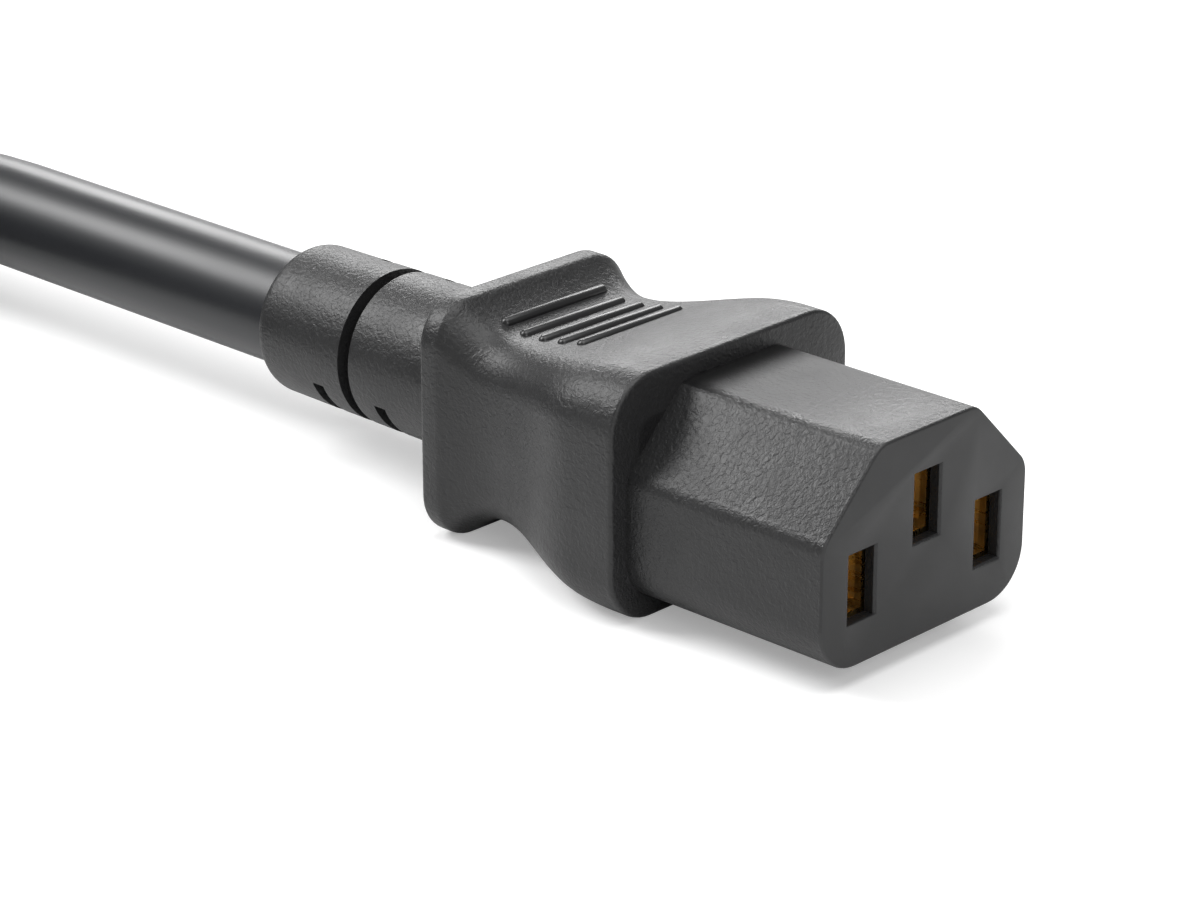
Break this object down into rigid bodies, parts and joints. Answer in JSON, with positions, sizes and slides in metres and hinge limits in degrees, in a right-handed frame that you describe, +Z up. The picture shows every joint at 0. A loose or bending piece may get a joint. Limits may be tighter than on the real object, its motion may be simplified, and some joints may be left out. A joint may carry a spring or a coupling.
{
  "type": "c13 power connector",
  "caption": "Moulded three-pole appliance connector with a bevelled nose, finger ribs and a strain relief, on a round black mains lead that ends in a coil and a wall plug.",
  "frame": {"origin": "under the middle of the connector without its cord, on the surface that it lies on", "axes": "+X out of the nose, towards the inlet that it goes into; +Y to the line pole's side; +Z up, the earth pole's side"},
  "size_m": [0.2143, 0.1363, 0.0256],
  "materials": {
    "grip_vinyl": "fine pebble grain",
    "block_plastic": "fine spark grain",
    "contact_brass": "stamped strip",
    "core_black": "smooth",
    "core_white": "smooth",
    "core_green": "smooth",
    "copper_strand": "stranded copper",
    "cord_jacket": "smooth satin",
    "tie_strap": "hook and loop strap",
    "plated_blade": "nickel plate"
  },
  "bodies": {
    "root": {"grip_overmould": "grip_vinyl", "contact_block": "block_plastic", "line_contact": "contact_brass", "neutral_contact": "contact_brass", "earth_contact": "contact_brass", "line_insulation": "core_black", "neutral_insulation": "core_white", "earth_insulation": "core_green", "line_wire": "copper_strand", "neutral_wire": "copper_strand", "earth_wire": "copper_strand", "cord_lead": "cord_jacket", "cord_coil": "cord_jacket", "coil_tie": "tie_strap", "cord_tail": "cord_jacket", "plug_body": "grip_vinyl", "plug_bridge": "block_plastic", "plug_line_blade": "plated_blade", "plug_neutral_blade": "plated_blade", "plug_earth_pin": "plated_blade"}
  },
  "joints": []
}
